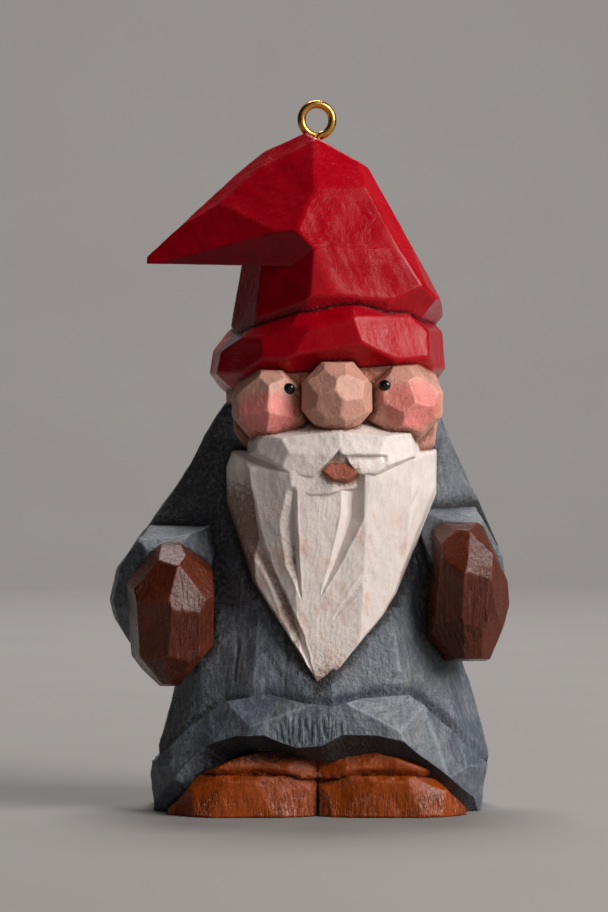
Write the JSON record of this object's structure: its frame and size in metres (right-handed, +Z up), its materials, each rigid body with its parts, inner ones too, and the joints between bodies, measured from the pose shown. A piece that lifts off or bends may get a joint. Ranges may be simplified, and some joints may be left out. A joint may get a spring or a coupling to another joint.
{
  "type": "carved gnome ornament",
  "caption": "Flat-plane carved gnome with a turned-over pointed hat, long beard, mittens and boots; stands on its base or hangs by a screw eye.",
  "frame": {"origin": "middle of the flat base, on the ground, directly under the screw eye", "axes": "+Z up the figure, the face looks along -Y, the figure's own left is +X"},
  "size_m": [0.053, 0.0365, 0.0941],
  "materials": {
    "hat_red": "red satin acrylic paint over knife-cut wood",
    "skin": "pale flesh acrylic paint with a brown wash in the cuts",
    "cheek_pink": "flesh paint blended into rosy pink",
    "bead_black": "glossy black paint",
    "hair_white": "thick off-white acrylic paint",
    "lip_red": "matt brown-red paint",
    "coat_grey": "blue-grey acrylic paint, dry-brushed lighter",
    "mitten_brown": "dark brown satin paint",
    "boot_brown": "red-brown satin paint",
    "eye_brass": "bright brass wire"
  },
  "bodies": {
    "root": {"screw_eye": "eye_brass", "hat_peak": "hat_red", "hat_crown": "hat_red", "hat_brim": "hat_red", "head": "skin", "nose": "skin", "cheek_left": "cheek_pink", "cheek_right": "cheek_pink", "eye_left": "bead_black", "eye_right": "bead_black", "moustache_left": "hair_white", "moustache_right": "hair_white", "lower_lip": "lip_red", "chin_tuft": "hair_white", "beard": "hair_white", "coat_yoke": "coat_grey", "coat_body": "coat_grey", "coat_hem": "coat_grey", "sleeve_left": "coat_grey", "sleeve_right": "coat_grey", "mitten_left": "mitten_brown", "mitten_right": "mitten_brown", "boot_shaft_left": "boot_brown", "boot_shaft_right": "boot_brown", "boot_foot_left": "boot_brown", "boot_foot_right": "boot_brown"}
  },
  "joints": []
}
